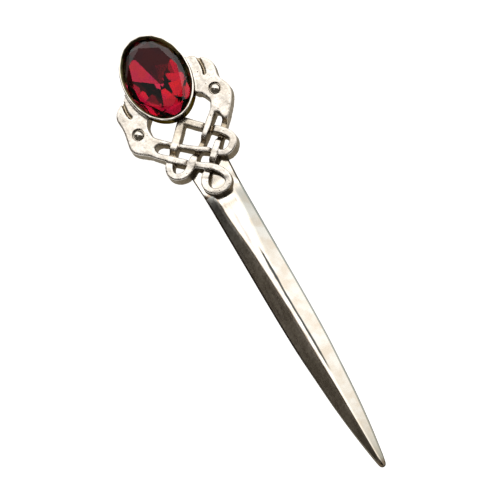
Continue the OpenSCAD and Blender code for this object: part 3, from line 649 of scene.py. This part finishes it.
def wall_share(tree, start, end, curve="LINEAR"):
    """From 0 where the skin lies level to 1 where it stands upright."""
    return ramp(tree, calc(tree, "ABSOLUTE", leaning(tree)["Z"]), start, end, curve=curve)


print("a place in metres is multiplied by", 1 / MM, "for its patterns")

# %% Tumbled finish for the knot and the heads
def tumbled_alloy():
    material, tree = new_material("tumbled_plated_alloy")
    place = place_in_mm(tree)
    at = parts_of(tree, place)
    grain = cloud(tree, place, 3.2, 4)
    pits = add(tree, "ShaderNodeTexVoronoi", {"Vector": place, "Scale": 1.1}).outputs["Distance"]
    pitted = ramp(tree, pits, 0.14, 0.05)

    face = blend(tree, ramp(tree, cloud(tree, place, 0.55, 3), 0.35, 0.65), "efeae3", "d9d1c6")
    # The low crossings inside the knot are painted brown: painted shade under the strands that pass over
    # them.
    low = ramp(tree, at["Z"], back_z + 2.2, back_z + 1.7)
    in_knot = ramp(tree, at["Y"], blade_top_y - 0.5, blade_top_y + 0.5)
    face = blend(tree, calc(tree, "MULTIPLY", low, in_knot), face, "c3b49c")

    # Upright walls are painted grey as shade, darker inside the knot than outside, with dark random mottles.
    outside = ramp(tree, calc(tree, "ABSOLUTE", at["X"]), LOBE_X - 0.6, LOBE_X + 0.3)
    wall = blend(tree, outside, "8a8174", "aaa397")
    wall = blend(tree, ramp(tree, grain, 0.42, 0.62, high=0.4), wall, "2b241a")
    is_wall = wall_share(tree, 0.55, 0.2, "SMOOTHSTEP")
    colour = blend(tree, is_wall, face, wall)
    # Creases, where the skin bends inwards, are painted brown as shade.
    bent = add(tree, "ShaderNodeNewGeometry").outputs["Pointiness"]
    colour = blend(tree, ramp(tree, bent, 0.47, 0.43, high=0.38), colour, "5b4c38")
    colour = blend(tree, pitted, colour, "8d8474")

    rough = between(tree, is_wall, ramp(tree, grain, 0.35, 0.65, 0.19, 0.32), 0.42)
    swell = calc(tree, "MULTIPLY_ADD", pitted, -0.5, cloud(tree, place, 1.1, 2))
    surface(tree, {"Base Color": colour, "Metallic": 1.0, "Roughness": rough,
                   "Specular Tint": linear("a19b90"), "Normal": bumps(tree, swell, 0.7, 0.03)})
    return material


print("strands' lobes reach x", round(LOBE_X, 2))

# %% [markdown]
# The blade's faces carry painted light and polishing: a dark line and a faint one beside the crest are
# painted reflections, the bevel on the side away from the light is painted in shade and left duller, the tip
# turns grey and brown, and fine streaks run along it. Each of them is a place or a slope that the shader
# measures.

# %% Painted reflection lines on the blade
FAINT_REFLECTION = {"x": -0.22, "half": 0.3, "ends": (8.5, 1.2), "fade": 1.2}
CREST_REFLECTION = {"x": 0.44, "half": 0.27, "ends": (0.2, -21.5), "fade": 0.9}


def reflection_line(tree, at, wander, line):
    """How much a painted reflection line along the blade shows at a place; it wanders with the polishing
    streaks.
    """
    off = calc(tree, "ADD", calc(tree, "ADD", at["X"], -line["x"]), wander)
    off = calc(tree, "ABSOLUTE", off)
    shows = ramp(tree, off, line["half"], line["half"] * 0.3, curve="SMOOTHSTEP")
    for end, way_in in zip(line["ends"], (-1, 1)):
        inside = ramp(tree, at["Y"], end - way_in * line["fade"], end + way_in * line["fade"])
        shows = calc(tree, "MULTIPLY", shows, inside)
    return shows


print("lines at x", FAINT_REFLECTION["x"], "and", CREST_REFLECTION["x"])

# %% Polished finish for the blade
GREY_ABOVE, BROWN_BELOW = blade_top_y - 5, blade_top_y - 19
TIP_TONES = (-15.0, casting_low[1] + 1.6, casting_low[1] + 0.7)


def long_polished_alloy():
    material, tree = new_material("long_polished_alloy")
    place = place_in_mm(tree)
    at = parts_of(tree, place)
    lean = leaning(tree)
    drawn_out = add(tree, "ShaderNodeMapping", {"Vector": place, "Scale": (1.0, 0.2, 1.0)}).outputs[0]
    streaks = cloud(tree, drawn_out, 1.1, 3)
    face = blend(tree, ramp(tree, cloud(tree, place, 0.5, 4), 0.38, 0.62), "efede7", "e2d8ca")

    # The bevel that leans away from the light is painted in shade and left duller: grey near the knot, brown
    # lower down, with dark mottles.
    shaded = ramp(tree, lean["X"], -0.15, -0.24)
    near_knot = ramp(tree, at["Y"], BROWN_BELOW, GREY_ABOVE)
    away_side_shade = blend(tree, near_knot, "d3cabc", "e9ebe7")
    away_side_shade = blend(tree, ramp(tree, cloud(tree, place, 2.2, 5), 0.42, 0.66, high=0.42), away_side_shade, "6f6251")
    face = blend(tree, shaded, face, away_side_shade)
    # A tan tint where the crest turns towards that bevel is painted shade too.
    turning = ramp(tree, lean["X"], -0.03, -0.1, high=0.6)
    face = blend(tree, calc(tree, "SUBTRACT", turning, shaded, use_clamp=True), face, "c9a88a")

    # Two long lines beside the crest are painted reflections, and the rounded edges carry a painted grey
    # reflection on the side of the light and a painted dark shade on the side away from it.
    wander = calc(tree, "MULTIPLY_ADD", streaks, 0.5, -0.25)
    faint = calc(tree, "MULTIPLY", reflection_line(tree, at, wander, FAINT_REFLECTION), 0.6)
    face = blend(tree, faint, face, "a9a3a6")
    face = blend(tree, reflection_line(tree, at, wander, CREST_REFLECTION), face, "3b3d3c")
    face = blend(tree, ramp(tree, lean["X"], 0.4, 0.65), face, "8f938d")
    face = blend(tree, ramp(tree, lean["X"], -0.4, -0.6), face, "2e2a25")

    # The tip turns grey and then brown, and the upright walls are painted dark as shade.
    face = blend(tree, ramp(tree, at["Y"], TIP_TONES[0], TIP_TONES[1], high=0.45), face, "aba391")
    face = blend(tree, ramp(tree, at["Y"], TIP_TONES[1], TIP_TONES[2], high=0.85), face, "6b5c4b")
    colour = blend(tree, wall_share(tree, 0.5, 0.2), face, "4b473f")

    rough = ramp(tree, streaks, 0.35, 0.65, 0.1, 0.19)
    matt = calc(tree, "MULTIPLY_ADD", near_knot, 0.06, 0.14)
    rough = calc(tree, "MULTIPLY_ADD", shaded, matt, rough)
    surface(tree, {"Base Color": colour, "Metallic": 1.0, "Roughness": rough,
                   "Specular Tint": linear("a09a90"), "Normal": bumps(tree, streaks, 1.0, 0.02)})
    return material


print("tip tones at y", [round(y, 1) for y in TIP_TONES])

# %% [markdown]
# The rim's top is bright, its outer wall is painted dark as shade, and its inner bevel is dark olive, with
# a painted yellow highlight on the side of the light. The bevel is found by how far a place lies from the
# stone's centre, as a share of the rim's half widths, so the bands follow the oval.

# %% Polished finish for the rim, its dark olive inner bevel and its painted highlight
GLEAM_WAY = (0.79, 0.61, 0)


def rim_alloy():
    material, tree = new_material("round_polished_alloy")
    place = place_in_mm(tree)
    at = parts_of(tree, place)
    share_x = calc(tree, "DIVIDE", at["X"], rim_a)
    share_y = calc(tree, "DIVIDE", calc(tree, "ADD", at["Y"], -stone_y), rim_b)
    flat = add(tree, "ShaderNodeCombineXYZ", {0: share_x, 1: share_y}).outputs[0]
    share = add(tree, "ShaderNodeVectorMath", {0: flat}, operation="LENGTH").outputs["Value"]
    front = ramp(tree, at["Z"], back_z + GIRDLE_TOP - 0.4, back_z + GIRDLE_TOP)
    inner = calc(tree, "MULTIPLY", ramp(tree, share, 0.962, 0.953), front)
    blotch = cloud(tree, place, 0.9, 4)
    # The gleam is a painted highlight on the inner bevel, on the side of the light, and is rougher there.
    gleam = ramp(tree, along(tree, flat, GLEAM_WAY), 0.82, 0.95, high=0.8)
    inner_bevel_colour = blend(tree, ramp(tree, blotch, 0.4, 0.6), "4a4a34", "7a7450")
    inner_bevel_colour = blend(tree, gleam, inner_bevel_colour, "d9cf86")
    # Upright walls are painted dark as shade; the top stays bright.
    outer = blend(tree, wall_share(tree, 0.6, 0.25), "ebe6dd", "5a564b")
    colour = blend(tree, inner, outer, inner_bevel_colour)
    rough = ramp(tree, blotch, 0.0, 1.0, 0.06, 0.2)
    rough = calc(tree, "MULTIPLY_ADD", calc(tree, "MULTIPLY", gleam, inner), 0.55, rough)
    surface(tree, {"Base Color": colour, "Metallic": 1.0, "Roughness": rough,
                   "Specular Tint": linear("938d83")})
    return material


print("gleam towards", GLEAM_WAY)

# %% Give each part its finish
FINISHES = [tumbled_alloy(), long_polished_alloy(), rim_alloy()]
TUMBLED, LONG_POLISHED, ROUND_POLISHED = range(3)


def give_finish(part, index):
    for finish in FINISHES:
        part.data.materials.append(finish)
    part.data.polygons.foreach_set("material_index", [index] * len(part.data.polygons))


relief.data.materials.clear()
give_finish(relief, TUMBLED)
give_finish(blade, LONG_POLISHED)
give_finish(rim, ROUND_POLISHED)
give_finish(seat, ROUND_POLISHED)
print("finishes:", [finish.name for finish in FINISHES])

# %% [markdown]
# The parts become one casting, as on the real pin. A cut takes the finish of its cutter along, so the
# seat for the stone is polished like the rim. Faces have to look outwards before bodies are joined.

# %% Join the casting and cut the seat for the stone
def face_outwards(part):
    bm = bmesh.new()
    bm.from_mesh(part.data)
    bmesh.ops.recalc_face_normals(bm, faces=bm.faces)
    bm.to_mesh(part.data)
    bm.free()


face_outwards(rim)
face_outwards(blade)
casting = combine(relief, rim, "UNION")
combine(casting, blade, "UNION")
combine(casting, seat, "DIFFERENCE")
print("casting:", len(casting.data.polygons), "faces")

# %% [markdown]
# Each eye is a polished dome in a round socket. The socket is cut with a small flared lip, and the dome
# is a flattened ball that stands a little above the head's face, so it mirrors the whole room.

# %% Eyes
SOCKET_R, SOCKET_D, EYE_R, DOME_SHARE = 0.96, 0.4, 0.8, 0.8
SOCKET_FOOT, SOCKET_LIP = 0.06, 0.08
DOME_FROM, DOME_TO = -18, 88
socket_z = HEAD_T - SOCKET_D


def ring(x, y, radius, z, steps=48):
    turns = np.arange(steps) * 2 * math.pi / steps
    return [(x + radius * math.cos(t), y + radius * math.sin(t), z) for t in turns]


SOCKET = [(SOCKET_R - SOCKET_FOOT, socket_z), (SOCKET_R, socket_z + SOCKET_FOOT),
          (SOCKET_R, HEAD_T - SOCKET_LIP), (SOCKET_R + SOCKET_LIP, HEAD_T),
          (SOCKET_R + 1.5 * SOCKET_LIP, HEAD_T + 0.5)]
DOME = [(EYE_R * math.cos(t), socket_z + EYE_R * DOME_SHARE * math.sin(t))
        for t in np.linspace(math.radians(DOME_FROM), math.radians(DOME_TO), 16)]
for share, side in ((RIGHT_EYE, 1), (LEFT_EYE, -1)):
    (x, y), = head_places([share], side)
    socket = loft("socket", [ring(x, y, radius, z) for radius, z in SOCKET])
    give_finish(socket, TUMBLED)
    combine(casting, socket, "DIFFERENCE")
    dome = loft("dome", [ring(x, y, radius, z) for radius, z in DOME])
    give_finish(dome, ROUND_POLISHED)
    combine(casting, dome, "UNION")
    print("eye at", round(x, 2), round(y, 2))

# %% [markdown]
# Joining bodies leaves points that almost coincide and slivers between them. They are merged here, so
# that the mesh is as clean as it can be. Then the casting is scaled to metres, lifted to the
# solid's back and shaded smooth, with a sharp edge where two faces meet at more than 40 degrees.

# %% Clean the casting's mesh
MERGE_REACH = 0.002

bm = bmesh.new()
bm.from_mesh(casting.data)
bmesh.ops.remove_doubles(bm, verts=bm.verts, dist=MERGE_REACH)
bmesh.ops.dissolve_degenerate(bm, edges=bm.edges, dist=MERGE_REACH)
print("open or shared edges left:", sum(not edge.is_manifold for edge in bm.edges))
bm.to_mesh(casting.data)
bm.free()

# %% Scale the casting to metres and place it
SHARP_ANGLE = math.radians(40)

casting.data.transform(Matrix.Translation((0, 0, back_z * MM)) @ Matrix.Scale(MM, 4))
casting.data.shade_smooth()
casting.data.set_sharp_from_angle(angle=SHARP_ANGLE)
casting.name = "dirk_casting"
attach(casting, "root")
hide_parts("casting")
triangles = sum(len(p.vertices) - 2 for p in casting.data.polygons)
indices = np.zeros(len(casting.data.polygons), int)
casting.data.polygons.foreach_get("material_index", indices)
print("casting:", triangles, "triangles, faces by finish:", np.bincount(indices))

# %% [markdown]
# The stone is a cut glass oval with a mirror foil burnt onto its back, under a dull lacquer. Light goes in
# through the crown, is thrown back by the foiled pavilion facets and comes out again. So the crown's faces
# are clear tinted glass and the pavilion's faces are a mirror, on one closed body, and the facets do the
# rest. Such stones are never quite even: the table leans by about three degrees and the point of the back
# is half a millimetre off the middle, and that decides which facets are bright and which are dark.

# %% Cut the stone
MAIN_FACETS = 8
STAR_SHARE = (1 + TABLE_SHARE * math.cos(math.pi / MAIN_FACETS)) / 2
LOWER_SHARE = 0.74
GIRDLE_T = GIRDLE_TOP - GIRDLE_BOTTOM
TABLE_LEAN, POINT_OFF = (0.038, 0.042), (-0.03, -0.48)


def stone_ring(share, count, z, offset=0.0):
    turns = [2 * math.pi * (k + offset) / count for k in range(count)]
    return [(share * stone_a * math.cos(t), share * stone_b * math.sin(t), z) for t in turns]


def uneven(x, y, z):
    """Where a point of the even stone, measured from its girdle's top, lies in the cut one."""
    up = max(z, 0) / CROWN_H
    down = max(-GIRDLE_T - z, 0) / PAVILION_D
    return Vector((x + POINT_OFF[0] * down, y + POINT_OFF[1] * down + stone_y,
                   z + (TABLE_LEAN[0] * x + TABLE_LEAN[1] * y) * up + back_z + GIRDLE_TOP))


def cut_stone():
    n = MAIN_FACETS
    cosine = math.cos(math.pi / n)
    star_z = CROWN_H - (STAR_SHARE * cosine - TABLE_SHARE) * CROWN_H / (1 - TABLE_SHARE)
    lower_z = -GIRDLE_T - PAVILION_D * (1 - LOWER_SHARE * cosine)
    places = stone_ring(TABLE_SHARE, n, CROWN_H)
    places += stone_ring(STAR_SHARE, n, star_z, 0.5)
    places += stone_ring(1, 2 * n, 0)
    places += stone_ring(1, 2 * n, -GIRDLE_T)
    places += stone_ring(LOWER_SHARE, n, lower_z, 0.5)
    places.append((0, 0, -GIRDLE_T - PAVILION_D))
    star, top, bottom, lower, point = n, 2 * n, 4 * n, 6 * n, 7 * n
    crown, pavilion = [tuple(range(n))], []
    for k in range(n):
        after, before = (k + 1) % n, (k - 1) % n
        g0, g1, g2 = 2 * k, 2 * k + 1, (2 * k + 2) % (2 * n)
        crown += [(star + k, after, k), (star + before, top + g0, star + k, k),
                  (top + g0, top + g1, star + k), (top + g1, top + g2, star + k),
                  (bottom + g0, bottom + g1, top + g1, top + g0),
                  (bottom + g1, bottom + g2, top + g2, top + g1)]
        pavilion += [(bottom + g1, bottom + g0, lower + k), (bottom + g2, bottom + g1, lower + k),
                     (lower + k, bottom + g0, lower + before, point)]
    mesh = bpy.data.meshes.new("cut_stone")
    mesh.from_pydata([uneven(*place) * MM for place in places], [], crown + pavilion)
    for i, face in enumerate(mesh.polygons):
        face.material_index = int(i >= len(crown))
    return new_object("cut_stone", mesh)


stone = cut_stone()
face_outwards(stone)
print("stone:", len(stone.data.polygons), "facets")

# %% [markdown]
# Glass alone would let the light out at the back, so the foil does the work of silvering. Its colour
# drifts a little from place to place, and its outside, seen only from behind, is dull lacquer.

# %% Red glass and its foil
def red_glass():
    material, tree = new_material("ruby_red_cut_glass")
    surface(tree, {"Base Color": linear("df5f7c"), "Roughness": 0.0, "IOR": 1.53,
                   "Transmission Weight": 1.0, "Specular IOR Level": 0.38})
    return material


def mirror_foil():
    material, tree = new_material("burnt_on_mirror_foil")
    drift = cloud(tree, place_in_mm(tree), 0.32, 1)
    inside = blend(tree, ramp(tree, drift, 0.54, 0.62, high=0.4), "d46f90", "dc8a5f")
    inside = blend(tree, ramp(tree, drift, 0.46, 0.38, high=0.55), inside, "b368ac")
    from_inside = add(tree, "ShaderNodeNewGeometry").outputs["Backfacing"]
    colour = blend(tree, from_inside, "a48a5c", inside)
    rough = between(tree, from_inside, 0.3, 0.02)
    surface(tree, {"Base Color": colour, "Metallic": 1.0, "Roughness": rough})
    return material


stone.data.materials.append(red_glass())
stone.data.materials.append(mirror_foil())
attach(stone, "root")
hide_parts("stone")
print("stone finishes:", [finish.name for finish in stone.data.materials])

# %% [markdown]
# The pin bar on the back is plain plated steel: the solid's own form is right, so it stays, with its
# edges softened by a small bevel, and gets a satin finish with fine lines along its length.

# %% Pin bar
BAR_EDGE = 0.08


def satin_steel():
    material, tree = new_material("satin_plated_steel")
    lines = add(tree, "ShaderNodeMapping", {"Vector": place_in_mm(tree), "Scale": (9, 0.3, 9)}).outputs[0]
    grain = cloud(tree, lines, 1.0, 2)
    rough = ramp(tree, grain, 0.0, 1.0, 0.2, 0.38)
    surface(tree, {"Base Color": linear("c9c8c6"), "Metallic": 1.0, "Roughness": rough,
                   "Normal": bumps(tree, grain, 0.2, 0.01)})
    return material


pin_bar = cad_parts["pin_bar"]
pin_bar.data.materials.clear()
pin_bar.data.materials.append(satin_steel())
soften = pin_bar.modifiers.new("soft_edges", "BEVEL")
soften.width = BAR_EDGE * MM
soften.segments = 2
soften.limit_method = "ANGLE"
soften.angle_limit = SHARP_ANGLE
print("pin bar:", len(pin_bar.data.polygons), "faces before its bevel")
